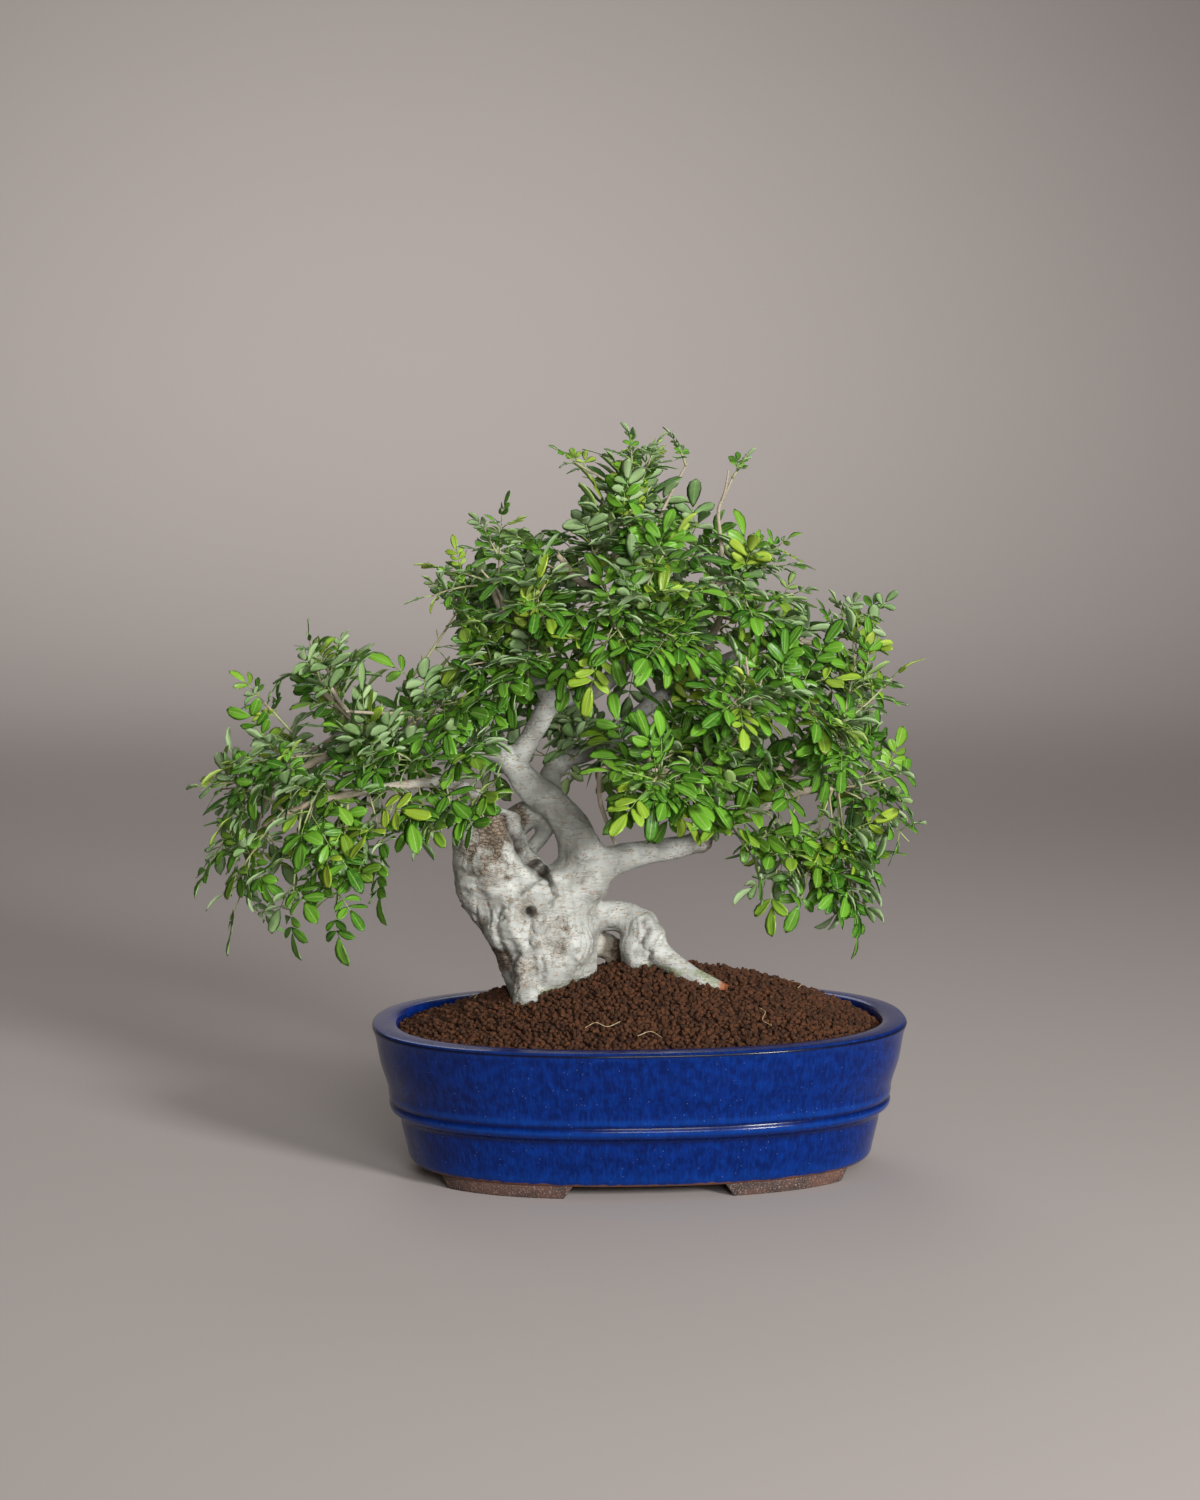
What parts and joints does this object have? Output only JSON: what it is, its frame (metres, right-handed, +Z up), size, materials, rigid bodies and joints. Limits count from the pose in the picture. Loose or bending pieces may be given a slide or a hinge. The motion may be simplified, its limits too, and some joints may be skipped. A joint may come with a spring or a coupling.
{
  "type": "narrow-leaved ash bonsai",
  "caption": "Leafy broad-leaved bonsai with a thick leaning trunk, a root arch and spreading pads of small leaves, planted in an oval glazed pot on four feet.",
  "frame": {"origin": "middle of the whole object's box, at the height of the surface that the feet stand on", "axes": "+X along the pot's long side, to the right as seen from the tree's front; +Y to the tree's back; +Z up"},
  "size_m": [0.5536, 0.2884, 0.5669],
  "materials": {
    "glazed_stoneware": "glossy cobalt-blue glaze; bare red-brown clay on the feet and underneath",
    "granular_soil": "matt dark red-brown fired-clay granules",
    "bark": "smooth silver-grey bark with tan lenticels and rough brown scars",
    "leaf": "glossy mid-green upper side, matt grey-green under side",
    "screen_mesh": "moulded black mesh",
    "clip_wire": "soft drawn wire"
  },
  "bodies": {
    "root": {"drain_screen_left": "screen_mesh", "drain_screen_right": "screen_mesh", "leaf_spray_01": "leaf", "leaf_spray_02": "leaf", "leaf_spray_03": "leaf", "leaf_spray_04": "leaf", "leaf_spray_05": "leaf", "leaf_spray_06": "leaf", "leaf_spray_07": "leaf", "leaf_spray_08": "leaf", "leaf_spray_09": "leaf", "leaf_spray_10": "leaf", "leaf_spray_11": "leaf", "leaf_spray_12": "leaf", "leaf_spray_13": "leaf", "leaf_spray_14": "leaf", "leaf_spray_15": "leaf", "leaf_spray_16": "leaf", "leaf_spray_17": "leaf", "leaf_spray_18": "leaf", "leaf_spray_19": "leaf", "leaf_spray_20": "leaf", "leaf_spray_21": "leaf", "leaf_spray_22": "leaf", "leaf_spray_23": "leaf", "leaf_spray_24": "leaf", "leaf_spray_25": "leaf", "leaf_spray_26": "leaf", "leaf_spray_27": "leaf", "leaf_spray_28": "leaf", "leaf_spray_29": "leaf", "leaf_spray_30": "leaf", "leaf_spray_31": "leaf", "leaf_spray_32": "leaf", "leaf_spray_33": "leaf", "leaf_spray_34": "leaf", "leaf_spray_35": "leaf", "leaf_spray_36": "leaf", "leaf_spray_37": "leaf", "leaf_spray_38": "leaf", "leaf_spray_39": "leaf", "leaf_spray_40": "leaf", "leaf_spray_41": "leaf", "leaf_spray_42": "leaf", "leaf_spray_43": "leaf", "leaf_spray_44": "leaf", "leaf_spray_45": "leaf", "leaf_spray_46": "leaf", "leaf_spray_47": "leaf", "leaf_spray_48": "leaf", "leaf_spray_49": "leaf", "leaf_spray_50": "leaf", "leaf_spray_51": "leaf", "leaf_spray_52": "leaf", "pot": "glazed_stoneware", "screen_clip_left": "clip_wire", "screen_clip_right": "clip_wire", "soil": "granular_soil", "tree_wood": "bark"}
  },
  "joints": []
}
